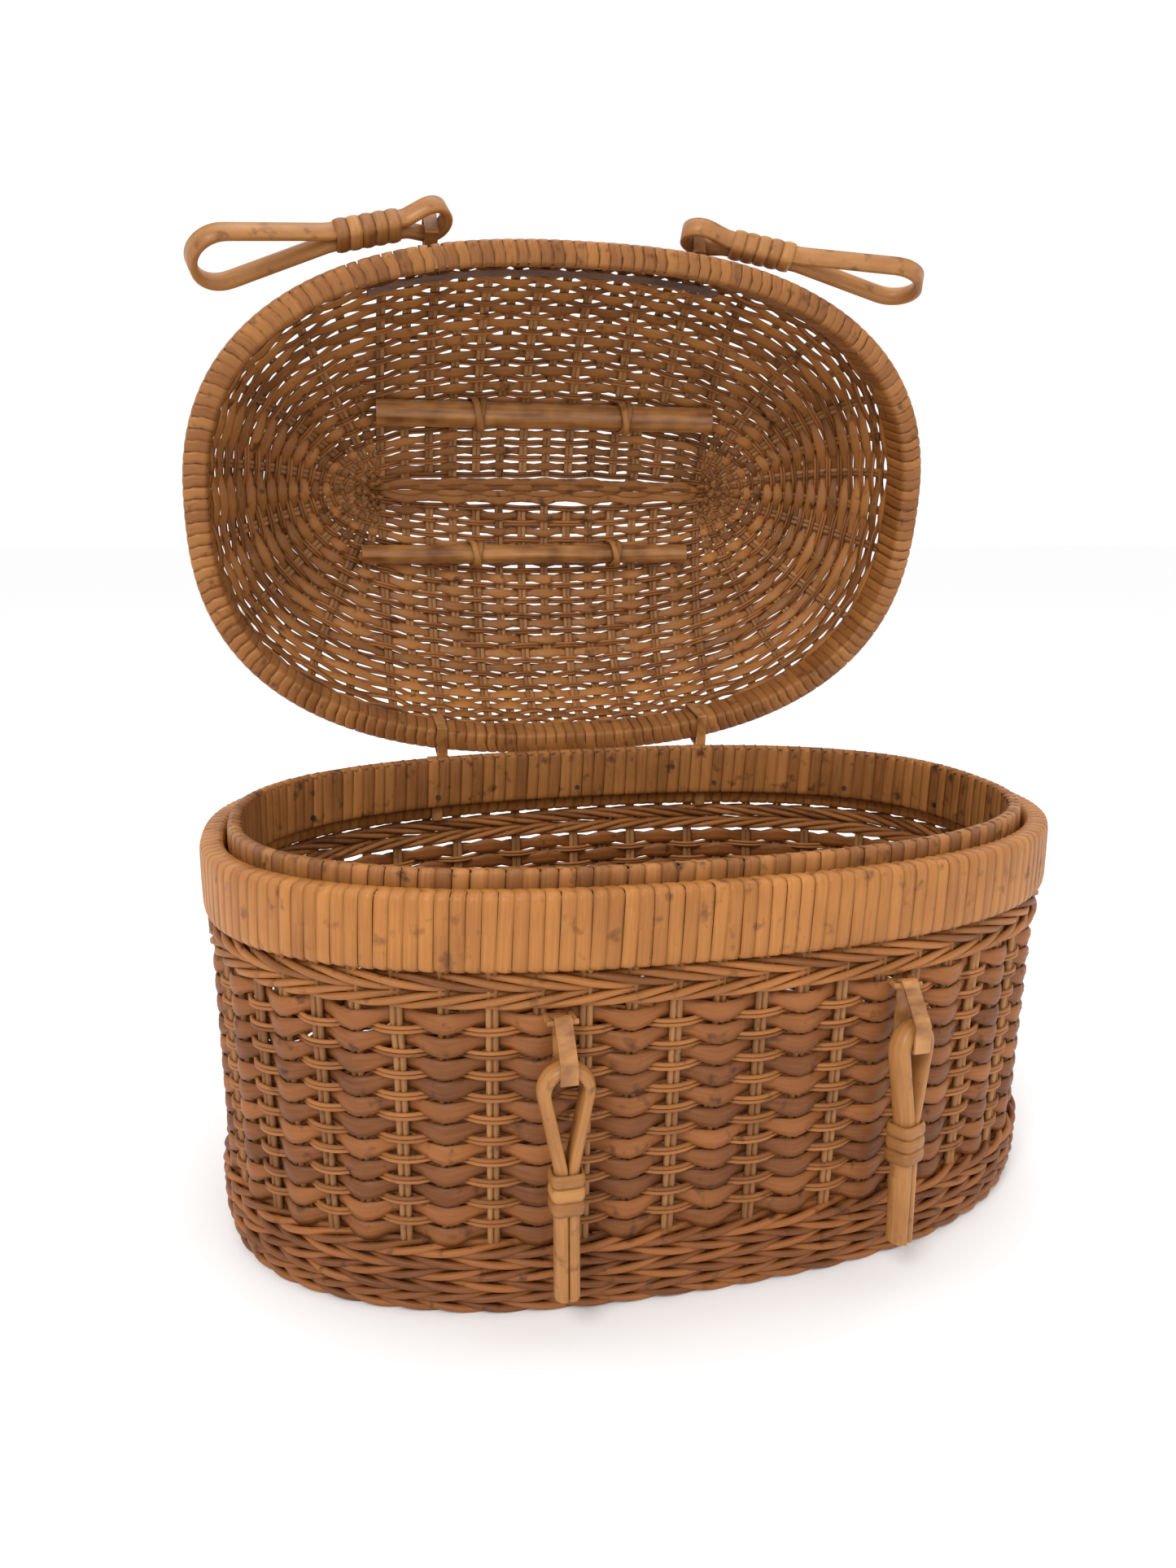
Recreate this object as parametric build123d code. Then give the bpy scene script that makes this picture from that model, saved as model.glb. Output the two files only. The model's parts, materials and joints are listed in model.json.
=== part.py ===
from build123d import *
import math
import os

# Oval woven cane basket with a domed, hinged lid.  Millimetres, +Z up, front is -Y.
# Origin: centre of the base, on the surface that the basket stands on.
# The lid is modelled closed and then turned open about its hinge line.

# ---- body: overall sizes -------------------------------------------------------------
RIM_HALF_X = 172.0          # outer wrapped band, half length
RIM_HALF_Y = 115.5          # outer wrapped band, half depth
RIM_TOP = 157.5             # top of the outer band
SQUARENESS = 2.45           # exponent of the oval: 2 is an ellipse, higher is boxier

# ---- body rim ------------------------------------------------------------------------
BAND_HEIGHT = 26.5
BAND_THICK = 9.0            # outer hoop, stake ends, inner hoop and the strip round them all
STAKE_SLOT = 2.4            # room between the two hoops for the stake ends
LIP_GAP = 1.2               # between the band and the lip that is nailed inside it
LIP_THICK = 4.8
LIP_STAND = 5.0             # the lip stands this far above the band
LIP_HEIGHT = 24.5
WRAP_THICK = 1.1            # cane strip wound round each hoop

# ---- body wall -----------------------------------------------------------------------
STAKE_WIDE = 4.4
STAKE_THICK = 2.2
WALL_THICK = 6.6
WALL_LEAN_X = 1.0           # the wall is this much narrower at the foot than at the rim
WALL_LEAN_Y = 10.0
FOOT_HEIGHT = 28.0
FOOT_PROUD = 1.8            # the foot roll stands this far out of the wall
UPPER_WALE_HEIGHT = 12.4
UPPER_WALE_PROUD = 0.4
WALE_GAP = 1.3              # under the band, where the hinge loops pass
BASE_UNDER = 0.0            # the base plate is this far above the ground
BASE_THICK = 4.0
BASE_CLEAR = 0.2            # round the edge of the base plate
BODY_CROSS_STAKES = 13
BODY_CROSS_PITCH = 15.2
BODY_FAN_STAKES = 19
FAN_START = 20.0            # fan stakes begin this far from the end of the spine

# ---- lid -----------------------------------------------------------------------------
LID_HALF_X = 179.0
LID_HALF_Y = 120.0
LID_SHIFT_Y = -2.0          # the lid sits this far forward of the body's middle
LID_RIM_HEIGHT = 20.0
LID_RIM_THICK = 10.7
LID_DOME_RISE = 70.0        # dome above its rim, outside
LID_WALL_THICK = 6.0
LID_WALL_INSET = 4.5        # the woven dome stands inside the rim's outer face
LID_SPINE_HALF = 95.0       # half length of the line that the lid's rows go round
DOME_TURNS = (0, 16, 32, 48, 62, 76)  # levels of the dome, in degrees up from its foot
LID_CROSS_STAKES = 15
LID_CROSS_PITCH = 12.5
LID_FAN_STAKES = 13
SEAT_GAP = 2.2              # closed lid rides on the hinge loops by this much
OPEN_ANGLE = 79.0           # how far the hinge loops let the lid lean back

# ---- hinge loops ---------------------------------------------------------------------
HINGE_GAP_NUMBER = 4        # the loops pass between these stakes, counted from the middle
HINGE_BEHIND = 1.5          # hinge line stands this far behind the band
HINGE_STRIP = 0.9
HINGE_LOOP_WIDE = 5.0

# ---- hasps (loops on the lid) --------------------------------------------------------
CANE_WIDE = 8.5             # split cane, across the plane of the loop
CANE_THICK = 4.2            # split cane, in the plane of the loop
HASP_LENGTH = 116.0
HASP_EYE_R = 7.0            # centre line of the small eye
HASP_END_R = 12.0           # centre line of the large end
HASP_NECK_FROM = 12.0
HASP_NECK_TO = 47.0
HASP_BINDING = (15.0, 44.0)
HASP_X = (-67.0, 57.0)
HASP_ROLL = (45.0, 26.0)    # each loop leans with its near side on the rim
HASP_DROOP = (18.0, 14.0)   # its wide end sinks by this
HASP_YAW = (0.0, 7.5)       # and it turns forward over the rim by this
HASP_REACH = 10.0           # eye strand stands this far out of the lid's wall
HASP_TIE_ABOVE_RIM = 7.0

# ---- pegs (toggles on the body) ------------------------------------------------------
PEG_X = (-55.0, 68.4)
PEG_TWIST = (0.0, 26.0)
PEG_TIE_TOP = 115.0
PEG_DROP = 11.0             # from the tie's bar to the top of the peg's loop
PEG_LENGTH = 85.0
PEG_LOOP_R = 7.65           # centre line of the peg's loop
PEG_LOOP_LENGTH = 37.0
PEG_BINDING_LENGTH = 16.0
PEG_OFF_WALL = 8.9          # centre of the peg in front of the wall
NECK_GAP = 0.4
CROTCH_R = 0.5              # a loop's hole narrows to this beside its neck
CROTCH_BACK = 0.6           # and stops this far before it
BINDING_THICK = 1.2

# ---- ties ----------------------------------------------------------------------------
TIE_WIDE = 5.8
TIE_THICK = 1.0
TIE_BAR_R = 1.0
TIE_CLEAR = 0.4
PEG_BAR_OFF_WALL = 4.0
HASP_BAR_OFF_WALL = 3.5
STAPLE_HALF = 4.3

# ---- lid bars, splint and carrying handles ---------------------------------------------------
FRONT_BAR_Y = -42.0
REAR_BAR_Y = 30.0
BAR_UNDER_DOME = 3.0
FRONT_BAR_R = 6.5
REAR_BAR_R = 5.0
FRONT_BAR_X = (-90.0, 86.0)
REAR_BAR_X = (-99.0, 79.0)
BAR_TIE_X = 38.4
SPLINT_X = (-95.0, 68.0)
SPLINT_HEIGHT = 10.0
SPLINT_THICK = 2.4
SPLINT_OFF_WALL = 1.6
SPLINT_OVER_RIM = 1.0
HANDLE_R = 3.25
HANDLE_WIDE = 104.0
HANDLE_TALL = 58.0
HANDLE_TOP_BEND = 28.0
HANDLE_FOOT_BEND = 9.0
HANDLE_GRIP = 42.0
HANDLE_OVER_DOME = 4.2
HANDLE_SPLICE = 0.5         # half gap between the strand's ends, inside the binding

NAIL_COUNT = 14
NAIL_HEAD_R = 1.1
NAIL_SHANK_R = 0.55
NAIL_LENGTH = 4.6
NAIL_HEAD_THICK = 0.8
NAIL_FROM_LIP_FOOT = 5.5

CLEAR = 0.3                 # between pieces that move past each other
TOUCH = 0.05                # between pieces that lie against each other

# ---- places worked out from the sizes above ------------------------------------------
BAND_BOTTOM = RIM_TOP - BAND_HEIGHT
LIP_TOP = RIM_TOP + LIP_STAND
LIP_BOTTOM = LIP_TOP - LIP_HEIGHT
LIP_INSET = BAND_THICK + LIP_GAP
STAKE_INSET = BAND_THICK / 2
WALE_TOP = BAND_BOTTOM - WALE_GAP
WALL_TOP = WALE_TOP - UPPER_WALE_HEIGHT
HINGE_X = (HINGE_GAP_NUMBER + 0.5) * BODY_CROSS_PITCH
LID_SEAT = RIM_TOP + SEAT_GAP
HINGE_Y = RIM_HALF_Y + HINGE_BEHIND
HINGE_Z = RIM_TOP + SEAT_GAP / 2
HINGE_AXIS = Axis((0, HINGE_Y, HINGE_Z), (-1, 0, 0))
DOME_FOOT = LID_SEAT + LID_RIM_HEIGHT


# ---- ovals ---------------------------------------------------------------------------
def oval_point(half_x, half_y, turn):
    """Point of the oval in the direction of an ellipse's parameter, in radians."""
    c, s = math.cos(turn), math.sin(turn)
    shrink = (abs(c) ** SQUARENESS + abs(s) ** SQUARENESS) ** (-1 / SQUARENESS)
    return half_x * c * shrink, half_y * s * shrink


def oval_y(half_x, half_y, x):
    """Half depth of the oval at a place along its length."""
    return half_y * (1 - abs(x / half_x) ** SQUARENESS) ** (1 / SQUARENESS)


def oval_face(half_x, half_y, z, points=48):
    ring = [oval_point(half_x, half_y, 2 * math.pi * k / points) for k in range(points)]
    return make_face(Spline([(x, y, z) for x, y in ring], periodic=True))


def oval_plate(half_x, half_y, z_low, z_high):
    return extrude(oval_face(half_x, half_y, z_low), z_high - z_low, dir=(0, 0, 1))


def oval_ring(half_x, half_y, thick, z_low, z_high):
    """Straight-walled ring whose outer face is the oval of these half sizes."""
    outer = oval_plate(half_x, half_y, z_low, z_high)
    return outer - oval_plate(half_x - thick, half_y - thick, z_low - 1, z_high + 1)


def reach_to_oval(half_x, half_y, start_x, angle):
    """Distance from a point on the long axis to the oval, along a direction."""
    low, high = 0.0, half_x + half_y
    for _ in range(50):
        mid = (low + high) / 2
        x = abs(start_x + mid * math.cos(angle)) / half_x
        y = abs(mid * math.sin(angle)) / half_y
        if x ** SQUARENESS + y ** SQUARENESS < 1:
            low = mid
        else:
            high = mid
    return low


def wall_half(z):
    """Half sizes of the stakes' oval at a height: the wall leans in from the band to the foot."""
    low = max(0, 1 - z / BAND_BOTTOM)
    return RIM_HALF_X - STAKE_INSET - WALL_LEAN_X * low, RIM_HALF_Y - STAKE_INSET - WALL_LEAN_Y * low


def front_y(outward, x, z):
    """Y of the front wall at a place, measured outward from the middle of its stakes."""
    half_x, half_y = wall_half(z)
    return -oval_y(half_x + outward, half_y + outward, x)


def fan_angles(count):
    step = 180.0 / (count + 1)
    return [math.radians(-90 + step * (k + 1)) for k in range(count)]


def cross_places(count, pitch):
    return [pitch * (k - (count - 1) / 2) for k in range(count)]


# ---- body ----------------------------------------------------------------------------
def make_base_panel():
    half_x, half_y = wall_half(0)
    inset = WALL_THICK / 2 + BASE_CLEAR
    return oval_plate(half_x - inset, half_y - inset, BASE_UNDER, BASE_UNDER + BASE_THICK)


def wall_solid(outward, z_low, z_high):
    low = wall_half(z_low)
    high = wall_half(z_high)
    faces = [oval_face(low[0] + outward, low[1] + outward, z_low),
             oval_face(high[0] + outward, high[1] + outward, z_high)]
    return loft(faces, ruled=True)


def wall_ring(proud, z_low, z_high):
    """Ring of woven wall about the stakes, standing proud of the plain wall by some amount."""
    half = WALL_THICK / 2
    return wall_solid(half + proud, z_low, z_high) - wall_solid(-half, z_low - 1, z_high + 1)


def upright(foot, head, angle):
    """Stake standing from foot to head, its flat side facing along the angle."""
    rise = Vector(*head) - Vector(*foot)
    across = Vector(-math.sin(angle), math.cos(angle), 0)
    box = Box(STAKE_WIDE, STAKE_THICK, rise.length, align=(Align.CENTER, Align.CENTER, Align.MIN))
    return Plane(origin=foot, x_dir=across, z_dir=rise) * box


def base_run(x, y, angle, length, z):
    box = Box(length, STAKE_WIDE, STAKE_THICK, align=(Align.MIN, Align.CENTER, Align.MIN))
    return Pos(x, y, z) * Rot(0, 0, math.degrees(angle)) * box


def make_body_stakes():
    """Flat stakes: U-shaped across the middle, L-shaped in the fan at each end."""
    z_low = BASE_UNDER + (BASE_THICK - STAKE_THICK) / 2
    z_high = RIM_TOP - WRAP_THICK
    foot_x, foot_y = wall_half(z_low)
    head_x, head_y = wall_half(BAND_BOTTOM)
    stakes = []
    for x in cross_places(BODY_CROSS_STAKES, BODY_CROSS_PITCH):
        low = oval_y(foot_x, foot_y, x)
        high = oval_y(head_x, head_y, x)
        stake = base_run(x, -low, math.pi / 2, 2 * low, z_low)
        for side in (-1, 1):
            bend = (x, side * high, BAND_BOTTOM)
            stake += upright((x, side * low, z_low), bend, math.pi / 2)
            stake += upright(bend, (x, side * high, z_high), math.pi / 2)
        stakes.append(stake)
    spine = BODY_CROSS_PITCH * (BODY_CROSS_STAKES - 1) / 2
    for side in (0.0, math.pi):
        start = spine * math.cos(side)
        for angle in fan_angles(BODY_FAN_STAKES):
            turn = angle + side
            way_x, way_y = math.cos(turn), math.sin(turn)
            low = reach_to_oval(foot_x, foot_y, start, turn)
            high = reach_to_oval(head_x, head_y, start, turn)
            run = base_run(start + FAN_START * way_x, FAN_START * way_y, turn, low - FAN_START, z_low)
            foot = (start + low * way_x, low * way_y, z_low)
            bend = (start + high * way_x, high * way_y, BAND_BOTTOM)
            head = (bend[0], bend[1], z_high)
            stakes.append(run + upright(foot, bend, turn) + upright(bend, head, turn))
    return Compound(children=[s.solid() for s in stakes])


def make_band():
    """Two hoops with the stake ends between them, and the strip wound round them all."""
    inside = BAND_THICK - 2 * WRAP_THICK
    hoop = (inside - STAKE_SLOT) / 2
    z_low = BAND_BOTTOM + WRAP_THICK
    z_high = RIM_TOP - WRAP_THICK
    half_x = RIM_HALF_X - WRAP_THICK
    half_y = RIM_HALF_Y - WRAP_THICK
    outer_hoop = oval_ring(half_x, half_y, hoop, z_low, z_high)
    back = hoop + STAKE_SLOT
    inner_hoop = oval_ring(half_x - back, half_y - back, hoop, z_low, z_high)
    skin = oval_ring(RIM_HALF_X, RIM_HALF_Y, BAND_THICK, BAND_BOTTOM, RIM_TOP)
    skin -= oval_ring(half_x, half_y, inside, z_low, z_high)
    return outer_hoop, inner_hoop, skin


def hoop_and_wrap(half_x, half_y, thick, z_low, z_high):
    """A hoop and the strip wound round it, the strip taken as a closed skin."""
    core = oval_ring(half_x - WRAP_THICK, half_y - WRAP_THICK, thick - 2 * WRAP_THICK,
                     z_low + WRAP_THICK, z_high - WRAP_THICK)
    skin = oval_ring(half_x, half_y, thick, z_low, z_high) - core
    return core, skin


def make_nails():
    """Small nails through the lip, between the stakes."""
    half_x = RIM_HALF_X - LIP_INSET - LIP_THICK
    half_y = RIM_HALF_Y - LIP_INSET - LIP_THICK
    z = LIP_BOTTOM + NAIL_FROM_LIP_FOOT
    nails = []
    for k in range(NAIL_COUNT):
        turn = 2 * math.pi * (k + 0.5) / NAIL_COUNT
        x, y = oval_point(half_x, half_y, turn)
        ahead = oval_point(half_x, half_y, turn + 0.01)
        facing = math.degrees(math.atan2(ahead[1] - y, ahead[0] - x)) - 90
        shank = Pos(NAIL_LENGTH / 2 - CLEAR, 0, 0) * Rot(0, 90, 0) * Cylinder(NAIL_SHANK_R, NAIL_LENGTH)
        head = Pos(-NAIL_HEAD_THICK / 4, 0, 0) * Rot(0, 90, 0) * Cylinder(NAIL_HEAD_R, NAIL_HEAD_THICK)
        nails.append((Pos(x, y, z) * Rot(0, 0, facing) * (shank + head)).solid())
    return Compound(children=nails)


# ---- strips and ties -----------------------------------------------------------------
def outline_round(shapes):
    """Convex outline round several flat shapes."""
    edges = ShapeList()
    for shape in shapes:
        edges.extend(shape.edges())
    return make_hull(edges)


def disc(r, a, b):
    return Pos(a, b) * Circle(r)


def strip_ring(inner, thick, x, wide):
    """A flat strip bent into a closed ring in the YZ plane, round an inner outline."""
    ring = offset(inner, amount=thick, kind=Kind.ARC) - inner
    plane = Plane(origin=(x - wide / 2, 0, 0), x_dir=(0, 1, 0), z_dir=(1, 0, 0))
    return extrude(plane * ring, wide)


def hinge_loop(half_x, half_y, shift, thick, middle, z_low, z_high, low_part):
    """Strip round one rim that comes to a point on the hinge line."""
    edge = abs(middle) - HINGE_LOOP_WIDE / 2
    far_edge = edge + HINGE_LOOP_WIDE
    outer = oval_y(half_x, half_y, edge) + shift + TOUCH
    inner = oval_y(half_x - thick, half_y - thick, far_edge) + shift - TOUCH
    if low_part:
        points = [(inner, z_low), (outer, z_low), (HINGE_Y, HINGE_Z), (inner, z_high)]
    else:
        points = [(inner, z_low), (HINGE_Y, HINGE_Z), (outer, z_high), (inner, z_high)]
    inside = make_face(Polyline(points, close=True))
    return strip_ring(inside, HINGE_STRIP, middle, HINGE_LOOP_WIDE)


def tie_ring(x, bar, strand, loop_r, lean, skew):
    """Strip linking a bar and the curved strand of a loop that crosses the YZ plane.

    The loop's centre lies below the strand, or leans outward from below it.
    """
    skew = math.radians(skew)
    lean = math.radians(lean)
    inside = loop_r - CANE_THICK / 2
    reach = TIE_WIDE / 2 / math.cos(skew) + CANE_WIDE / 2 * math.tan(skew)
    sag = inside - math.sqrt(inside ** 2 - reach ** 2)
    wide_way = CANE_WIDE / math.cos(skew) + TIE_WIDE * math.tan(skew) + 2 * TIE_CLEAR
    middle = (strand[0] - sag / 2 * math.sin(lean), strand[1] - sag / 2 * math.cos(lean))
    slot = Rectangle(wide_way, CANE_THICK + sag + 2 * TIE_CLEAR)
    round_cane = Pos(*middle) * Rot(0, 0, -math.degrees(lean)) * slot
    round_bar = disc(TIE_BAR_R + TIE_CLEAR, *bar)
    inner = outline_round([round_bar, round_cane])
    return strip_ring(inner, TIE_THICK, x, TIE_WIDE).solid()


def staple(x, y_in, bar):
    """Cane staple through a wall, with its bar outside along X."""
    rod = Pos(x, bar[0], bar[1]) * Rot(0, 90, 0) * Cylinder(TIE_BAR_R, 2 * STAPLE_HALF + 2 * TIE_BAR_R)
    for side in (-1, 1):
        leg = Rot(90, 0, 0) * Cylinder(TIE_BAR_R, abs(bar[0] - y_in))
        rod += Pos(x + side * STAPLE_HALF, (bar[0] + y_in) / 2, bar[1]) * leg
    return rod.solid()


# ---- split-cane loops, laid out along +X in the XY plane -----------------------------
def cane_loop(eye_r, eye_x, neck_from, neck_to, end_r, end_x):
    """Loop with an eye, a closed neck and a wide end.  A zero radius leaves that end off."""
    half_neck = CANE_THICK + NECK_GAP / 2
    half = CANE_THICK / 2
    neck = Pos((neck_from + neck_to) / 2, 0) * Rectangle(neck_to - neck_from, 2 * half_neck)
    solid_part = neck
    holes = []
    for r, x, near in ((eye_r, eye_x, neck_from), (end_r, end_x, neck_to)):
        if r == 0:
            continue
        toward = 1 if near > x else -1
        solid_part += outline_round([disc(r + half, x, 0), disc(half_neck, near, 0)])
        tip = near - toward * (half_neck + CROTCH_BACK)
        holes.append(outline_round([disc(r - half, x, 0), disc(CROTCH_R, tip, 0)]))
    for hole in holes:
        solid_part -= hole
    return Pos(0, 0, -CANE_WIDE / 2) * extrude(solid_part, CANE_WIDE)


def cane_binding(x_from, x_to):
    """Cane wound round the neck of a loop."""
    half_neck = CANE_THICK + NECK_GAP / 2
    inner = Box(x_to - x_from + 2, 2 * half_neck, CANE_WIDE)
    outer = Box(x_to - x_from, 2 * (half_neck + BINDING_THICK), CANE_WIDE + 2 * BINDING_THICK)
    outer = fillet(outer.edges().filter_by(Axis.X), BINDING_THICK)
    return Pos((x_from + x_to) / 2, 0, 0) * (outer - inner)


def hasp_shapes():
    end_x = HASP_LENGTH - HASP_EYE_R - HASP_END_R - CANE_THICK
    loop = cane_loop(HASP_EYE_R, 0, HASP_NECK_FROM, HASP_NECK_TO, HASP_END_R, end_x)
    return loop, cane_binding(*HASP_BINDING)


def peg_shapes():
    """Peg along +X with the centre of its loop's round end at the origin."""
    top = PEG_LOOP_R + CANE_THICK / 2
    neck_from = PEG_LOOP_LENGTH - top
    neck_to = PEG_LENGTH - top
    loop = cane_loop(PEG_LOOP_R, 0, neck_from, neck_to, 0, 0)
    tail_from = neck_from + PEG_BINDING_LENGTH
    slot_length = neck_to - tail_from
    slot = Pos(tail_from + slot_length / 2 + 1, 0, 0) * Box(slot_length + 2, NECK_GAP, CANE_WIDE + 2)
    return loop - slot, cane_binding(neck_from + BINDING_THICK, tail_from)


# ---- lid (modelled closed) -----------------------------------------------------------
def dome_solid(half_x, half_y, rise, floor):
    """Dome whose level outlines are ovals that close in on the spine."""
    sections = []
    end_reach = half_x - LID_SPINE_HALF
    for step in DOME_TURNS:
        turn = math.radians(step)
        hx = LID_SPINE_HALF + end_reach * math.cos(turn)
        hy = half_y * math.cos(turn)
        sections.append(oval_face(hx, hy, DOME_FOOT + rise * math.sin(turn)))
    dome = loft(sections)
    if floor < DOME_FOOT:
        dome += oval_plate(half_x, half_y, floor, DOME_FOOT)
    return dome


def make_lid_weave():
    half_x = LID_HALF_X - LID_WALL_INSET
    half_y = LID_HALF_Y - LID_WALL_INSET
    outer = dome_solid(half_x, half_y, LID_DOME_RISE, DOME_FOOT)
    inner = dome_solid(half_x - LID_WALL_THICK, half_y - LID_WALL_THICK,
                       LID_DOME_RISE - LID_WALL_THICK, DOME_FOOT - 1)
    return (outer - inner).solid()


def dome_rib(x, y, turn, reach, rise, sweep_angle):
    """Flat stake bent to a quarter or half ellipse in an upright plane."""
    plane = Plane(origin=(x, y, DOME_FOOT), x_dir=(math.cos(turn), math.sin(turn), 0),
                  z_dir=(math.sin(turn), -math.cos(turn), 0))
    half = STAKE_THICK / 2
    outer = EllipticalCenterArc((0, 0), reach + half, rise + half, arc_size=sweep_angle)
    inner = EllipticalCenterArc((0, 0), reach - half, rise - half, arc_size=sweep_angle)
    face = make_face([outer, inner, Line(outer @ 0, inner @ 0), Line(outer @ 1, inner @ 1)])
    return extrude(plane * face, STAKE_WIDE / 2, both=True).solid()


def make_lid_stakes():
    inset = LID_WALL_INSET + LID_WALL_THICK / 2
    half_x = LID_HALF_X - inset
    half_y = LID_HALF_Y - inset
    rise = LID_DOME_RISE - LID_WALL_THICK / 2
    ribs = []
    for x in cross_places(LID_CROSS_STAKES, LID_CROSS_PITCH):
        reach = oval_y(half_x, half_y, x)
        ribs.append(dome_rib(x, 0, math.pi / 2, reach, rise, 180))
    for side in (0.0, math.pi):
        start = LID_SPINE_HALF * math.cos(side)
        for angle in fan_angles(LID_FAN_STAKES):
            turn = angle + side
            reach = reach_to_oval(half_x, half_y, start, turn)
            stop = math.degrees(math.acos(FAN_START / reach))
            ribs.append(dome_rib(start, 0, turn, reach, rise, stop))
    return Compound(children=ribs)


def make_splint():
    """Thin flat splint behind the front wall that the hasp ties go round."""
    inset = LID_WALL_INSET + LID_WALL_THICK + SPLINT_OFF_WALL
    z_low = DOME_FOOT + SPLINT_OVER_RIM
    ring = oval_ring(LID_HALF_X - inset, LID_HALF_Y - inset, SPLINT_THICK, z_low,
                     z_low + SPLINT_HEIGHT)
    length = SPLINT_X[1] - SPLINT_X[0]
    keep = Box(length, LID_HALF_Y, 4 * SPLINT_HEIGHT, align=(Align.MIN, Align.MAX, Align.CENTER))
    return (ring & (Pos(SPLINT_X[0], 0, z_low) * keep)).solid()


def make_panel_bar(y, r, x_span, z):
    length = x_span[1] - x_span[0]
    bar = Pos((x_span[0] + x_span[1]) / 2, y, z) * Rot(0, 90, 0) * Cylinder(r, length)
    return bar.solid()


def handle_shapes():
    """Carrying handle: its foot runs along X through the origin, its grip is towards +Y."""
    half = HANDLE_WIDE / 2
    grip = HANDLE_GRIP / 2
    start = (HANDLE_SPLICE, HANDLE_TALL, 0)
    corners = [start, (half, HANDLE_TALL, 0), (half, 0, 0), (-half, 0, 0),
               (-half, HANDLE_TALL, 0), (-HANDLE_SPLICE, HANDLE_TALL, 0)]
    bends = [HANDLE_TOP_BEND, HANDLE_FOOT_BEND, HANDLE_FOOT_BEND, HANDLE_TOP_BEND]
    path = FilletPolyline(*corners, radius=bends)
    section = Plane(origin=start, z_dir=(1, 0, 0)) * Circle(HANDLE_R)
    strand = sweep(section, path=path)
    tube = Cylinder(HANDLE_R + BINDING_THICK, 2 * grip) - Cylinder(HANDLE_R, 2 * grip + 2)
    return strand, Pos(0, HANDLE_TALL, 0) * Rot(0, 90, 0) * tube


def handle_tie(x, y, bar_r, bar_z, handle_z):
    """Strip round a bar under the dome and the handle's foot above it."""
    inner = outline_round([disc(bar_r + TOUCH, y, bar_z), disc(HANDLE_R + TIE_CLEAR, y, handle_z)])
    return strip_ring(inner, TIE_THICK, x, TIE_WIDE).solid()


# ---- put the lid's pieces in the open pose and write everything ----------------------
def opened(shape):
    return shape.rotate(HINGE_AXIS, OPEN_ANGLE)


def hasp_plane(side, roll, droop, yaw, eye):
    """Plane of a hasp: along its length, with its normal out of the lid's wall."""
    roll, droop, yaw = math.radians(roll), math.radians(droop), math.radians(yaw)
    along = Vector(side, 0, 0)
    up = Vector(0, math.sin(roll), math.cos(roll))
    out = Vector(0, -math.cos(roll), math.sin(roll))
    length = along * math.cos(droop) - out * math.sin(droop)
    normal = out * math.cos(droop) + along * math.sin(droop)
    length = length * math.cos(yaw) - up * math.sin(yaw)
    return Plane(origin=eye, x_dir=length, z_dir=normal)


def make_pegs(parts):
    for name, x, twist in zip(("left", "right"), PEG_X, PEG_TWIST):
        face = front_y(WALL_THICK / 2, x, PEG_TIE_TOP)
        bar = (face - PEG_BAR_OFF_WALL, PEG_TIE_TOP)
        loop_top = PEG_TIE_TOP - PEG_DROP
        centre = (x, face - PEG_OFF_WALL, loop_top - PEG_LOOP_R - CANE_THICK / 2)
        strand = (centre[1], loop_top - CANE_THICK / 2)
        parts["peg_staple_" + name] = staple(x, face + WALL_THICK + 2 * TIE_BAR_R, bar)
        parts["peg_tie_" + name] = tie_ring(x, bar, strand, PEG_LOOP_R, 0, twist)
        loop, binding = peg_shapes()
        place = Pos(*centre) * Rot(0, 0, twist) * Rot(90, 0, 0) * Rot(0, 0, -90)
        parts["peg_" + name] = (place * loop).solid()
        parts["peg_binding_" + name] = (place * binding).solid()
        print("peg", name, "lift pivot", (x, *bar), "swing pivot", centre)


def make_lid_bars(lid):
    half_y = LID_HALF_Y - LID_WALL_INSET - LID_WALL_THICK
    handle_z = DOME_FOOT + LID_DOME_RISE + HANDLE_OVER_DOME
    bars = (("front", FRONT_BAR_Y, FRONT_BAR_R, FRONT_BAR_X, 0),
            ("rear", REAR_BAR_Y, REAR_BAR_R, REAR_BAR_X, OPEN_ANGLE - 90))
    for name, y, r, span, hang in bars:
        share = math.sqrt(1 - ((y - LID_SHIFT_Y) / half_y) ** 2)
        under = DOME_FOOT + (LID_DOME_RISE - LID_WALL_THICK) * share
        bar_z = under - r - BAR_UNDER_DOME
        lid["panel_bar_" + name] = make_panel_bar(y, r, span, bar_z)
        foot = Pos(0, y, handle_z) * Rot(hang, 0, 0)
        strand, binding = handle_shapes()
        lid["carry_handle_" + name] = (foot * strand).solid()
        lid["handle_binding_" + name] = (foot * binding).solid()
        for side, x in (("left", -BAR_TIE_X), ("right", BAR_TIE_X)):
            lid["handle_tie_" + name + "_" + side] = handle_tie(x, y, r, bar_z, handle_z)
        print("handle", name, "closed-lid pivot", (0, y, handle_z))


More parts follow.
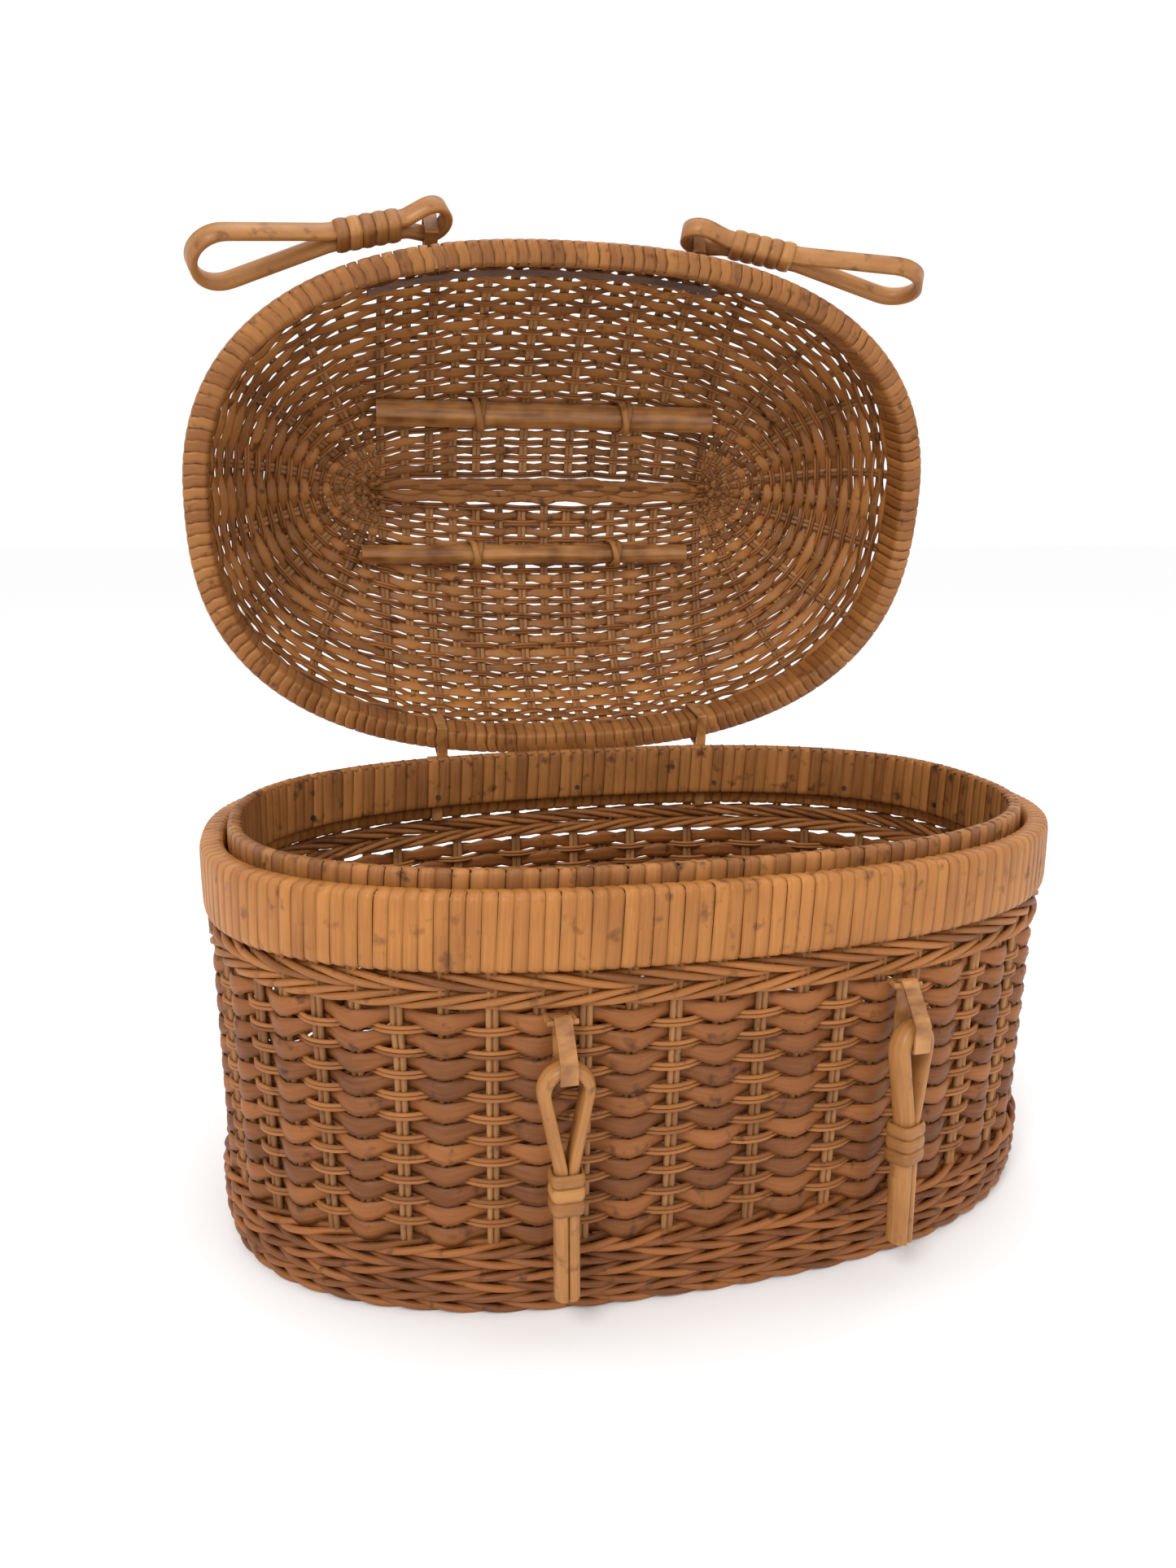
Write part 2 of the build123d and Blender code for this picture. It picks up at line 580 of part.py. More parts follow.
def make_hasps(lid):
    half_x = LID_HALF_X - LID_WALL_INSET
    half_y = LID_HALF_Y - LID_WALL_INSET
    tie_z = DOME_FOOT + HASP_TIE_ABOVE_RIM
    rests = zip(("left", "right"), (-1, 1), HASP_X, HASP_ROLL, HASP_DROOP, HASP_YAW)
    for name, side, x, roll, droop, yaw in rests:
        face = LID_SHIFT_Y - oval_y(half_x, half_y, x)
        bar = (face - HASP_BAR_OFF_WALL, tie_z)
        strand = (face - HASP_REACH, tie_z)
        lean = math.radians(roll)
        eye = (x, strand[0] - HASP_EYE_R * math.sin(lean), tie_z - HASP_EYE_R * math.cos(lean))
        lid["hasp_staple_" + name] = staple(x, face + LID_WALL_THICK + 2 * SPLINT_THICK, bar)
        lid["hasp_tie_" + name] = tie_ring(x, bar, strand, HASP_EYE_R, roll, droop)
        plane = hasp_plane(side, roll, droop, yaw, eye)
        loop, binding = hasp_shapes()
        lid["hasp_" + name] = (plane * loop).solid()
        lid["hasp_binding_" + name] = (plane * binding).solid()
        print("hasp", name, "closed-lid lift pivot", (x, *bar), "eye", eye, "normal", plane.z_dir)


def make_hinge_loops(parts, lid):
    middle = (HINGE_LOOP_WIDE + CLEAR) / 2
    for name, side in (("left", -1), ("right", 1)):
        x = side * HINGE_X
        parts["hinge_loop_body_" + name] = hinge_loop(
            RIM_HALF_X, RIM_HALF_Y, 0, BAND_THICK, x - middle,
            BAND_BOTTOM - TOUCH, RIM_TOP + TOUCH, True).solid()
        lid["hinge_loop_lid_" + name] = hinge_loop(
            LID_HALF_X, LID_HALF_Y, LID_SHIFT_Y, LID_RIM_THICK, x + middle,
            LID_SEAT - TOUCH, DOME_FOOT + TOUCH, False).solid()


def build():
    parts = {}
    parts["base_panel"] = make_base_panel()
    parts["foot_wale"] = wall_ring(FOOT_PROUD, 0, FOOT_HEIGHT)
    parts["body_weave"] = wall_ring(0, FOOT_HEIGHT + TOUCH, WALL_TOP - TOUCH)
    parts["body_stakes"] = make_body_stakes()
    parts["upper_wale"] = wall_ring(UPPER_WALE_PROUD, WALL_TOP, WALE_TOP)
    parts["band_hoop_outer"], parts["band_hoop_inner"], parts["band_wrap"] = make_band()
    parts["lip_hoop"], parts["lip_wrap"] = hoop_and_wrap(
        RIM_HALF_X - LIP_INSET, RIM_HALF_Y - LIP_INSET, LIP_THICK, LIP_BOTTOM, LIP_TOP)
    parts["lip_nails"] = make_nails()
    make_pegs(parts)

    lid = {}
    forward = Pos(0, LID_SHIFT_Y, 0)
    hoop, wrap = hoop_and_wrap(LID_HALF_X, LID_HALF_Y, LID_RIM_THICK, LID_SEAT, DOME_FOOT)
    lid["lid_rim_hoop"] = forward * hoop
    lid["lid_rim_wrap"] = forward * wrap
    lid["lid_weave"] = forward * make_lid_weave()
    lid["lid_stakes"] = forward * make_lid_stakes()
    lid["lid_splint"] = forward * make_splint()
    make_lid_bars(lid)
    make_hasps(lid)
    make_hinge_loops(parts, lid)
    for name, shape in lid.items():
        parts[name] = opened(shape)
    print("hinge line", (0, HINGE_Y, HINGE_Z))
    return parts


def write(parts):
    os.makedirs("parts", exist_ok=True)
    for name, shape in parts.items():
        export_step(shape, "parts/" + name + ".step")


write(build())
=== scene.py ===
import json
import math
import random

import bpy
import numpy as np
from mathutils import Matrix, Vector


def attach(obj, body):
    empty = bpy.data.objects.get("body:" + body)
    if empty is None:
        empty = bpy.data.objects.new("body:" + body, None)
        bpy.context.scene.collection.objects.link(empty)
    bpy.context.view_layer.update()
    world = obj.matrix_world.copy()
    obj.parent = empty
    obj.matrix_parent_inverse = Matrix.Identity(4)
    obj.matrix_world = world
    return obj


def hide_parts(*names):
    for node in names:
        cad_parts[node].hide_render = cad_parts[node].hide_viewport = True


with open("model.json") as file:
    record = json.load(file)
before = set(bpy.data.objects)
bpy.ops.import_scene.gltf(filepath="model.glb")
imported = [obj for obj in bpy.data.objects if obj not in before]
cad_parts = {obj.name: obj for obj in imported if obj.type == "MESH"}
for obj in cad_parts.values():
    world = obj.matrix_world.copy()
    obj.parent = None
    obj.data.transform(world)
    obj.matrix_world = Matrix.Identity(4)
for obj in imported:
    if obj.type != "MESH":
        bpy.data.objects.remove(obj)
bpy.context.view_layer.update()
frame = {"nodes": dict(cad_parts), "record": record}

bl_info = {
    "name": "Woven basket",
    "version": (1, 0, 0),
    "blender": (4, 5, 0),
    "location": "View3D > Sidebar > Basket",
    "description": "Weaves an oval cane basket round its frame",
    "category": "Object",
}

SQUARENESS = 2.45           # exponent of the basket's ovals
BODY_CROSS, BODY_PITCH, BODY_FAN = 13, 0.0152, 19
LID_CROSS, LID_PITCH, LID_FAN = 15, 0.0125, 13
SAMPLES = 6                 # points of a weaver from one stake to the next
WALL = 0.0066               # thickness of the woven wall
LID_SHELL = 0.0045          # thickness of the woven dome
BAND_THICK, LIP_THICK, LID_RIM_THICK = 0.009, 0.0048, 0.0107
CANE_WIDE, CANE_THICK = 0.0085, 0.0042      # half-round cane of the loops and pegs
NECK_HALF = 0.0023          # middle of a loop's cane to the middle of its neck
HASP_LENGTH, HASP_EYE_R, HASP_END_R = 0.116, 0.007, 0.012
HASP_NECK = (0.012, 0.047)
PEG_EYE_R, PEG_NECK = 0.00765, (0.02725, 0.07525)
HANDLE_R = 0.00325


# ---- the frame's sizes ---------------------------------------------------------------
def joint(name):
    return next(j for j in frame["record"]["behaviour"]["joints"] if j["name"] == name)


def closing():
    """Matrix that shuts the open lid, so that its ovals lie level."""
    hinge = joint("lid_hinge")
    place = Vector(hinge["pos_m"])
    turn = Matrix.Rotation(math.radians(hinge["range_deg"][0]), 4, Vector(hinge["axis"]))
    return np.array(Matrix.Translation(place) @ turn @ Matrix.Translation(-place))


SHUT = closing()
OPEN = np.linalg.inv(SHUT)


def moved(points, matrix):
    return points @ matrix[:3, :3].T + matrix[:3, 3]


def corners(node, matrix=None):
    """Every vertex of a CAD node, in the row frame or in that of the shut lid."""
    mesh = frame["nodes"][node].data
    points = np.empty(len(mesh.vertices) * 3)
    mesh.vertices.foreach_get("co", points)
    points = points.reshape(-1, 3)
    world = np.array(frame["nodes"][node].matrix_world)
    points = moved(points, world)
    return points if matrix is None else moved(points, matrix)


def spans(node, matrix=None):
    points = corners(node, matrix)
    return points.min(0), points.max(0)


def wall_half(z):
    """Half sizes of the middle of the woven wall at a height."""
    points = corners("body_weave")
    low, high = points[:, 2].min(), points[:, 2].max()
    share = (z - low) / (high - low)
    halves = []
    for level in (low, high):
        ring = np.abs(points[np.abs(points[:, 2] - level) < 0.0005])
        halves.append(ring[:, :2].max(0) - WALL / 2)
    return halves[0] + (halves[1] - halves[0]) * min(share, 1.15)


# ---- ovals ---------------------------------------------------------------------------
def oval(half, turn):
    """Points of the oval at these turns."""
    c, s = np.cos(turn), np.sin(turn)
    shrink = (np.abs(c) ** SQUARENESS + np.abs(s) ** SQUARENESS) ** (-1 / SQUARENESS)
    return np.stack([half[0] * c * shrink, half[1] * s * shrink], -1)


def stake_turns(half, cross, pitch, fan):
    """Turns at which the stakes cross an oval: across the middle, and fanned at each end."""
    spine = pitch * (cross - 1) / 2
    turns = []
    for k in range(cross):
        x = pitch * (k - (cross - 1) / 2)
        reach = min(abs(x) / half[0], 0.999)
        y = (1 - reach ** SQUARENESS) ** (1 / SQUARENESS)
        turns += [math.atan2(y, x / half[0]), math.atan2(-y, x / half[0])]
    grid = np.linspace(-math.pi, math.pi, 1441)
    ring = oval(half, grid)
    for side in (1, -1):
        angles = np.arctan2(ring[:, 1], side * (ring[:, 0] - side * spine))
        near = side * ring[:, 0] > 0
        for k in range(fan):
            goal = math.radians(-90 + 180 / (fan + 1) * (k + 1))
            gap = np.where(near, np.abs(angles - goal), 9)
            turns.append(grid[int(gap.argmin())])
    return np.sort(np.array(turns))


def along_oval(half, stakes, steps):
    """Place, outward direction and stake count along a closed oval."""
    count = len(stakes)
    number = np.arange(count * steps) / steps
    wrapped = np.append(stakes, stakes[0] + 2 * math.pi)
    turn = np.interp(number, np.arange(count + 1), wrapped)
    place = oval(half, turn)
    ahead = np.roll(place, -1, 0) - np.roll(place, 1, 0)
    ahead /= np.linalg.norm(ahead, axis=1)[:, None]
    out = np.stack([ahead[:, 1], -ahead[:, 0]], -1)
    return place, out, number


# ---- meshes of strips ----------------------------------------------------------------
class Bundle:
    """Vertices, faces, strip coordinates and shades of many strips, as one mesh."""

    def __init__(self):
        self.points, self.faces, self.coords, self.shades = [], [], [], []
        self.count = 0

    def add(self, rings, closed, shade):
        """A skin through rings of points: rings is (length, around, 3)."""
        length, around = rings.shape[:2]
        index = np.arange(length * around).reshape(length, around) + self.count
        last = length if closed else length - 1
        a = index[:last]
        b = np.roll(index, -1, 0)[:last]
        c = np.roll(b, -1, 1)
        d = np.roll(a, -1, 1)
        quads = np.stack([a, d, c, b], -1).reshape(-1, 4)
        self.faces.append(quads)
        steps = np.linalg.norm(np.diff(rings.mean(1), axis=0), axis=1)
        far = np.concatenate([[0], np.cumsum(steps)])
        far = np.append(far, far[-1] + (steps[-1] if len(steps) else 0))
        start = random.random() * 3
        across = np.linspace(0, 1, around + 1)
        i, j = np.meshgrid(np.arange(last), np.arange(around), indexing="ij")
        corner = [(far[i], across[j]), (far[i], across[j + 1]),
                  (far[i + 1], across[j + 1]), (far[i + 1], across[j])]
        uv = np.stack([np.stack([u + start, v], -1) for u, v in corner], 2)
        self.coords.append(uv.reshape(-1, 2))
        if not closed:
            for cap in (index[0], index[-1][::-1]):
                fan = [[cap[0], cap[k], cap[k + 1], cap[k + 1]] for k in range(1, around - 1)]
                self.faces.append(np.array(fan))
                self.coords.append(np.zeros((len(fan) * 4, 2)) + start)
        self.points.append(rings.reshape(-1, 3))
        self.shades.append(np.full(length * around, shade))
        self.count += length * around

    def build(self, name, material, matrix=None):
        points = np.concatenate(self.points)
        if matrix is not None:
            points = moved(points, matrix)
        quads = np.concatenate(self.faces)
        coords = np.concatenate(self.coords).reshape(-1, 4, 2)
        short = quads[:, 2] == quads[:, 3]
        faces = [q[:3] if s else q for q, s in zip(quads.tolist(), short)]
        mesh = bpy.data.meshes.new(name)
        mesh.from_pydata(points.tolist(), [], faces)
        flat = np.concatenate([c[:3] if s else c for c, s in zip(coords, short)])
        layer = mesh.uv_layers.new(name="strip")
        layer.data.foreach_set("uv", flat.ravel().astype(np.float32))
        shade = mesh.attributes.new("shade", "FLOAT", "POINT")
        shade.data.foreach_set("value", np.concatenate(self.shades).astype(np.float32))
        mesh.shade_smooth()
        mesh.materials.append(material)
        piece = bpy.data.objects.new(name, mesh)
        bpy.context.scene.collection.objects.link(piece)
        return piece


def cane_profile(wide, thick, points=8, crown=0.5):
    """Section of a flat strip with a crowned outer face; the second number is outward."""
    half = points // 2
    a = np.linspace(-1, 1, half)
    top = np.stack([a * wide / 2, thick * (0.75 - crown * a ** 2)], -1)
    bottom = np.stack([a[::-1] * wide / 2 * 0.96, np.full(half, -thick * 0.4)], -1)
    return np.concatenate([top, bottom])


def half_round(wide, thick, points=14):
    """Section of a half-round cane: flat inside, rounded outside."""
    turn = np.linspace(0, math.pi, points - 2)
    top = np.stack([-wide / 2 * np.cos(turn), -thick * 0.3 + thick * 0.8 * np.sin(turn) ** 0.8], -1)
    bottom = np.array([[wide * 0.44, -thick / 2], [-wide * 0.44, -thick / 2]])
    return np.concatenate([top, bottom])


def round_profile(radius, points=6):
    turn = np.linspace(0, 2 * math.pi, points, endpoint=False)
    return np.stack([radius * np.cos(turn), radius * np.sin(turn)], -1)[::-1]


def sweep(points, side, out, profile, scale=None):
    """Rings of a profile carried along points: its first number along side, its second along out."""
    wide = profile[:, 0][None, :, None]
    deep = profile[:, 1][None, :, None]
    if scale is not None:
        wide = wide * scale[:, None, None]
    return points[:, None, :] + side[:, None, :] * wide + out[:, None, :] * deep


def framed(points, out, closed):
    """Side and outward directions square to a path."""
    ahead = np.roll(points, -1, 0) - np.roll(points, 1, 0)
    if not closed:
        ahead[0] = points[1] - points[0]
        ahead[-1] = points[-1] - points[-2]
    ahead /= np.linalg.norm(ahead, axis=1)[:, None]
    out = out - ahead * (out * ahead).sum(1)[:, None]
    out /= np.linalg.norm(out, axis=1)[:, None]
    return np.cross(ahead, out), out


def waver(size, length, seed):
    """Slow random drift of a closed row."""
    rng = np.random.default_rng(seed)
    turn = np.linspace(0, 2 * math.pi, length, endpoint=False)
    total = np.zeros(length)
    for wave in (3, 7, 12, 23):
        total += np.sin(wave * turn + rng.uniform(0, 6.28)) * rng.uniform(0.3, 1)
    return total * size / 2


# ---- weaving on a surface ------------------------------------------------------------
def surface_ring(surface, height, stakes_of, steps=SAMPLES):
    half, z, tilt = surface(height)
    stakes = stakes_of(half)
    place, out, number = along_oval(half, stakes, steps)
    points = np.column_stack([place, np.full(len(place), z)])
    outward = np.column_stack([out * math.cos(tilt), np.full(len(out), math.sin(tilt))])
    uphill = np.column_stack([-out * math.sin(tilt), np.full(len(out), math.cos(tilt))])
    return points, outward, uphill, number


def plain_row(bundle, ring, phase, bulge, lift, profile, shade, seed, squeeze=0.0, sag=0.0):
    """One weaver that passes before one stake and behind the next."""
    points, outward, uphill, number = ring
    wave = np.cos(math.pi * (number + phase))
    soft = np.sign(wave) * np.abs(wave) ** 0.8
    away = np.abs((number + phase + 1) % 2 - 1)
    drift = waver(0.0004, len(points), seed) + lift + sag * (away - 0.5)
    path = points + outward * (soft * bulge)[:, None] + uphill * drift[:, None]
    side, out = framed(path, outward, True)
    scale = 1 - squeeze * (1 - np.abs(wave))
    bundle.add(sweep(path, side, out, profile, scale), True, shade)


def twisted_row(bundle, ring, strands, turns, bulge, lift, rise, profile, seed, shades):
    """Strands that twist round the stakes and round each other, like a rope."""
    points, outward, uphill, number = ring
    for strand in range(strands):
        turn = 2 * math.pi * (number * turns + strand / strands)
        drift = waver(0.0003, len(points), seed) + lift
        path = points + outward * (np.cos(turn) * bulge)[:, None]
        path += uphill * (np.sin(turn) * rise + drift)[:, None]
        side, out = framed(path, outward, True)
        bundle.add(sweep(path, side, out, profile), True, shades())


def stake_strips(bundle, surface, heights, stakes_of, profile, gap, shade):
    """Two flat rods side by side up each stake's place."""
    rows = []
    for height in heights:
        half, z, tilt = surface(height)
        place = oval(half, stakes_of(half))
        rows.append(np.column_stack([place, np.full(len(place), z)]))
    rows = np.array(rows)
    count = rows.shape[1]
    for k in range(count):
        path = rows[:, k]
        near = rows[:, (k + 1) % count] - rows[:, k - 1]
        side = near / np.linalg.norm(near, axis=1)[:, None]
        ahead = np.gradient(path, axis=0)
        out = np.cross(side, ahead)
        out /= np.linalg.norm(out, axis=1)[:, None]
        for way in (-1, 1):
            line = path + side * way * gap
            tone = shade()
            s, o = framed(line, out, False)
            bundle.add(sweep(line, s, o, profile), False, tone)


# ---- winding a strip round a rim -----------------------------------------------------
def rim_section(thick, low, high, proud, corner, points=20):
    """Rounded outline of a rim's section: in from the oval, and up."""
    turn = np.linspace(0, 2 * math.pi, points, endpoint=False)
    power = 0.32 if corner else 1
    a = np.sign(np.cos(turn)) * np.abs(np.cos(turn)) ** power
    b = np.sign(np.sin(turn)) * np.abs(np.sin(turn)) ** power
    deep = -thick / 2 + a * (thick / 2 + proud)
    up = (low + high) / 2 + b * ((high - low) / 2 + proud)
    return deep, up


def wound_rim(bundle, half, thick, low, high, strip, strip_thick, seed, slant=0.25, uneven=0.1, gaps=0.0):
    """Strip wound round a rim that follows an oval."""
    rng = random.Random(seed)
    grid = np.linspace(0, 2 * math.pi, 2881)
    ring = oval(np.array(half), grid)
    steps = np.linalg.norm(np.diff(ring, axis=0), axis=1)
    far = np.concatenate([[0], np.cumsum(steps)])
    count = int(far[-1] / strip)
    pitch = far[-1] / count
    deep, up = rim_section(thick, low, high, -strip_thick * 0.55, True)
    rise = (up - up.min()) / (up.max() - up.min()) - 0.5
    for k in range(count):
        wide = pitch * (0.985 - rng.random() * uneven)
        if rng.random() < gaps:
            wide *= 0.8
        lean = slant * pitch * (0.7 + 0.6 * rng.random())
        face = np.where(deep > deep.mean(), 1, -1)
        at = (k + 0.5) * pitch + lean * rise * face + rng.uniform(-0.03, 0.03) * pitch
        turn = np.interp(at % far[-1], far, grid)
        base = oval(np.array(half), turn)
        ahead = oval(np.array(half), turn + 0.002) - oval(np.array(half), turn - 0.002)
        ahead /= np.linalg.norm(ahead, axis=1)[:, None]
        out = np.stack([ahead[:, 1], -ahead[:, 0]], -1)
        place = base + out * deep[:, None]
        points = np.column_stack([place, up])
        closed_up = np.roll(up, -1) - np.roll(up, 1)
        closed_deep = np.roll(deep, -1) - np.roll(deep, 1)
        size = np.hypot(closed_up, closed_deep)
        n_deep, n_up = closed_up / size, -closed_deep / size
        outward = np.column_stack([out * n_deep[:, None], n_up])
        profile = cane_profile(wide, strip_thick, 8, 0.22)
        side, out3 = framed(points, outward, True)
        bundle.add(sweep(points, side, out3, profile), True, rng.random())


# ---- winding a strip round a straight neck -------------------------------------------
def wound_neck(bundle, origin, along, across, normal, start, length, turns, half_across, half_deep,
               strip_thick, seed, radius=None):
    rng = random.Random(seed)
    count = 24
    turn = np.linspace(0, 2 * math.pi, count, endpoint=False)
    power = 0.45 if radius is None else 1
    a = np.sign(np.cos(turn)) * np.abs(np.cos(turn)) ** power
    b = np.sign(np.sin(turn)) * np.abs(np.sin(turn)) ** power
    pitch = length / turns
    for k in range(turns):
        at = start + (k + 0.5) * pitch + np.sin(turn) * pitch * 0.12
        path = (origin + np.outer(at, along) + np.outer(a * (half_across + strip_thick * 0.4), across)
                + np.outer(b * (half_deep + strip_thick * 0.4), normal))
        out = np.outer(a, across) + np.outer(b, normal)
        side, out = framed(path, out, True)
        bundle.add(sweep(path, side, out, cane_profile(pitch * 0.97, strip_thick)), True, rng.random())


# ---- materials -----------------------------------------------------------------------
def cane(name, dark, light, rough=0.45, spots=0.25, grain=0.35, vary=0.75):
    """Split cane: a strip's own tone, long grain, blotches and darker stains."""
    material = bpy.data.materials.new(name)
    material.use_nodes = True
    nodes, links = material.node_tree.nodes, material.node_tree.links
    shader = nodes["Principled BSDF"]
    shader.inputs["Specular IOR Level"].default_value = 0.28
    tone = nodes.new("ShaderNodeAttribute")
    tone.attribute_name = "shade"
    place = nodes.new("ShaderNodeTexCoord")
    strip = nodes.new("ShaderNodeUVMap")
    strip.uv_map = "strip"
    stretch = nodes.new("ShaderNodeMapping")
    stretch.inputs["Scale"].default_value = (60, 14, 1)
    links.new(strip.outputs["UV"], stretch.inputs["Vector"])
    fibre = nodes.new("ShaderNodeTexNoise")
    fibre.inputs["Scale"].default_value = 1.0
    fibre.inputs["Detail"].default_value = 6
    links.new(stretch.outputs["Vector"], fibre.inputs["Vector"])
    blotch = nodes.new("ShaderNodeTexNoise")
    blotch.inputs["Scale"].default_value = 38
    blotch.inputs["Detail"].default_value = 4
    links.new(place.outputs["Object"], blotch.inputs["Vector"])
    stain = nodes.new("ShaderNodeTexNoise")
    stain.inputs["Scale"].default_value = 150
    stain.inputs["Detail"].default_value = 3
    links.new(place.outputs["Object"], stain.inputs["Vector"])

    def mixed(a, b, share):
        node = nodes.new("ShaderNodeMath")
        node.operation = "MULTIPLY_ADD"
        links.new(b, node.inputs[0])
        node.inputs[1].default_value = share
        links.new(a, node.inputs[2])
        return node.outputs[0]

    part = nodes.new("ShaderNodeMapRange")
    part.inputs["To Min"].default_value = 0.5 - vary / 2
    part.inputs["To Max"].default_value = 0.5 + vary / 2
    links.new(tone.outputs["Fac"], part.inputs["Value"])
    total = mixed(part.outputs["Result"], fibre.outputs["Fac"], grain * 2)
    total = mixed(total, blotch.outputs["Fac"], 0.9)
    spread = nodes.new("ShaderNodeMapRange")
    spread.inputs["From Min"].default_value = 0.35 + grain
    spread.inputs["From Max"].default_value = 1.35 + grain
    links.new(total, spread.inputs["Value"])
    colour = nodes.new("ShaderNodeValToRGB")
    colour.color_ramp.elements[0].color = (*dark, 1)
    colour.color_ramp.elements[1].color = (*light, 1)
    links.new(spread.outputs["Result"], colour.inputs["Fac"])
    mark = nodes.new("ShaderNodeMapRange")
    mark.inputs["From Min"].default_value = 0.60
    mark.inputs["From Max"].default_value = 0.74
    mark.inputs["To Max"].default_value = spots * 2
    links.new(stain.outputs["Fac"], mark.inputs["Value"])
    blend = nodes.new("ShaderNodeMix")
    blend.data_type = "RGBA"
    blend.inputs["B"].default_value = (dark[0] * 0.3, dark[1] * 0.25, dark[2] * 0.22, 1)
    links.new(mark.outputs["Result"], blend.inputs["Factor"])
    links.new(colour.outputs["Color"], blend.inputs["A"])
    links.new(blend.outputs["Result"], shader.inputs["Base Color"])
    gloss = nodes.new("ShaderNodeMapRange")
    gloss.inputs["To Min"].default_value = rough + 0.12
    gloss.inputs["To Max"].default_value = rough - 0.12
    links.new(fibre.outputs["Fac"], gloss.inputs["Value"])
    links.new(gloss.outputs["Result"], shader.inputs["Roughness"])
    bump = nodes.new("ShaderNodeBump")
    bump.inputs["Strength"].default_value = 0.35
    bump.inputs["Distance"].default_value = 0.0004
    links.new(fibre.outputs["Fac"], bump.inputs["Height"])
    links.new(bump.outputs["Normal"], shader.inputs["Normal"])
    return material


def grained(name, dark, light, rough, scale=(30, 400, 400), metal=0.0):
    """Cane or bamboo of a solid piece, with its grain along one way of the object."""
    material = bpy.data.materials.new(name)
    material.use_nodes = True
    nodes, links = material.node_tree.nodes, material.node_tree.links
    shader = nodes["Principled BSDF"]
    shader.inputs["Metallic"].default_value = metal
    place = nodes.new("ShaderNodeTexCoord")
    stretch = nodes.new("ShaderNodeMapping")
    stretch.inputs["Scale"].default_value = scale
    links.new(place.outputs["Object"], stretch.inputs["Vector"])
    fibre = nodes.new("ShaderNodeTexNoise")
    fibre.inputs["Scale"].default_value = 1.0
    fibre.inputs["Detail"].default_value = 6
    links.new(stretch.outputs["Vector"], fibre.inputs["Vector"])
    blotch = nodes.new("ShaderNodeTexNoise")
    blotch.inputs["Scale"].default_value = 60
    links.new(place.outputs["Object"], blotch.inputs["Vector"])
    join = nodes.new("ShaderNodeMath")
    links.new(fibre.outputs["Fac"], join.inputs[0])
    links.new(blotch.outputs["Fac"], join.inputs[1])
    spread = nodes.new("ShaderNodeMapRange")
    spread.inputs["From Min"].default_value = 0.75
    spread.inputs["From Max"].default_value = 1.25
    links.new(join.outputs[0], spread.inputs["Value"])
    colour = nodes.new("ShaderNodeValToRGB")
    colour.color_ramp.elements[0].color = (*dark, 1)
    colour.color_ramp.elements[1].color = (*light, 1)
    links.new(spread.outputs["Result"], colour.inputs["Fac"])
    links.new(colour.outputs["Color"], shader.inputs["Base Color"])
    shader.inputs["Roughness"].default_value = rough
    bump = nodes.new("ShaderNodeBump")
    bump.inputs["Strength"].default_value = 0.3
    bump.inputs["Distance"].default_value = 0.0003
    links.new(fibre.outputs["Fac"], bump.inputs["Height"])
    links.new(bump.outputs["Normal"], shader.inputs["Normal"])
    return material


def finish_of(name):
    """Material of that name, made the first time it is asked for."""
    found = bpy.data.materials.get(name)
    if found:
        return found
    makers = {
        "band cane": lambda: cane(name, (0.215, 0.070, 0.014), (0.46, 0.185, 0.042), 0.42, 0.3, 0.4, 0.35),
        "lid rim cane": lambda: cane(name, (0.15, 0.046, 0.010), (0.37, 0.15, 0.038), 0.42, 0.35, 0.4, 0.5),
        "wall cane": lambda: cane(name, (0.105, 0.030, 0.006), (0.30, 0.102, 0.024), 0.5, 0.4, 0.4),
        "thin cane": lambda: cane(name, (0.13, 0.041, 0.009), (0.36, 0.135, 0.034), 0.52, 0.35, 0.4),
        "lid cane": lambda: cane(name, (0.135, 0.045, 0.009), (0.41, 0.165, 0.042), 0.5, 0.4, 0.4),
        "stake cane": lambda: cane(name, (0.15, 0.055, 0.016), (0.38, 0.18, 0.065), 0.55, 0.3, 0.4),
        "tie cane": lambda: cane(name, (0.18, 0.062, 0.014), (0.42, 0.19, 0.056), 0.42, 0.25, 0.35),
        "lip cane": lambda: cane(name, (0.12, 0.038, 0.008), (0.38, 0.15, 0.038), 0.45, 0.4, 0.4, 0.6),
        "loop cane": lambda: cane(name, (0.20, 0.070, 0.016), (0.44, 0.20, 0.060), 0.36, 0.3, 0.5),
        "light cane": lambda: grained(name, (0.20, 0.072, 0.016), (0.44, 0.20, 0.060), 0.36, (160, 500, 160)),
        "golden bar": lambda: grained(name, (0.16, 0.056, 0.013), (0.46, 0.20, 0.055), 0.3),
        "splint bamboo": lambda: grained(name, (0.05, 0.02, 0.012), (0.16, 0.065, 0.03), 0.5),
        "nail iron": lambda: grained(name, (0.03, 0.018, 0.012), (0.10, 0.07, 0.05), 0.6,
                                     (300, 300, 300), 0.7),
    }
    return makers[name]()


# ---- pieces of the body --------------------------------------------------------------
def body_surface(height):
    half = wall_half_cached(height)
    return half, height, 0.0


_walls = {}


def wall_half_cached(z):
    key = round(z, 5)
    if key not in _walls:
        _walls[key] = wall_half(z)
    return _walls[key]


def body_stakes(half):
    return stake_turns(half, BODY_CROSS, BODY_PITCH, BODY_FAN)


